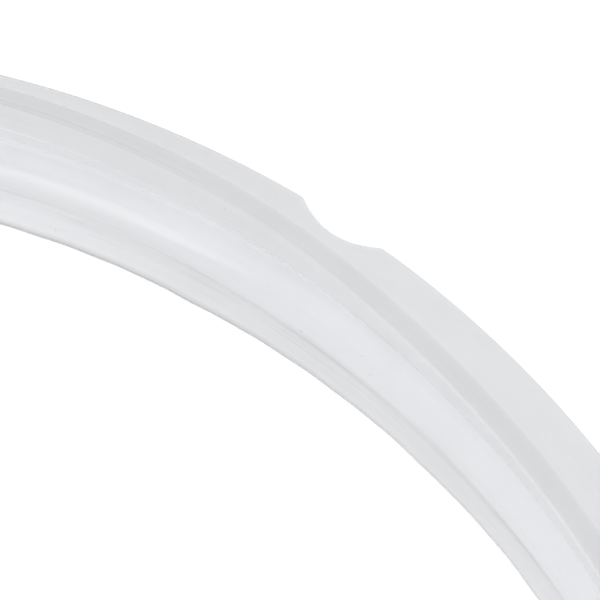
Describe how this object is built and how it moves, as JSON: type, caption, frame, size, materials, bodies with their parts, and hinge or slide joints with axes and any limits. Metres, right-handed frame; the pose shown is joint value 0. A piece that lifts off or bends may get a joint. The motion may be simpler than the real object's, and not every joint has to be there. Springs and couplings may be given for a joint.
{
  "type": "pressure cooker sealing ring",
  "caption": "Round moulded silicone sealing ring of an arched section, with a flared outer skirt, an inner lip that ends in a bead, and a half-moon notch in the skirt's edge.",
  "frame": {"origin": "centre of the ring, on the plane that its bead rests on", "axes": "+Z along the ring's axis, from the bead towards the crown; -Y towards the half-moon notch"},
  "size_m": [0.23, 0.2299, 0.0118],
  "materials": {
    "silicone": "milky translucent, satin"
  },
  "bodies": {
    "root": {"sealing_ring": "silicone"}
  },
  "joints": []
}
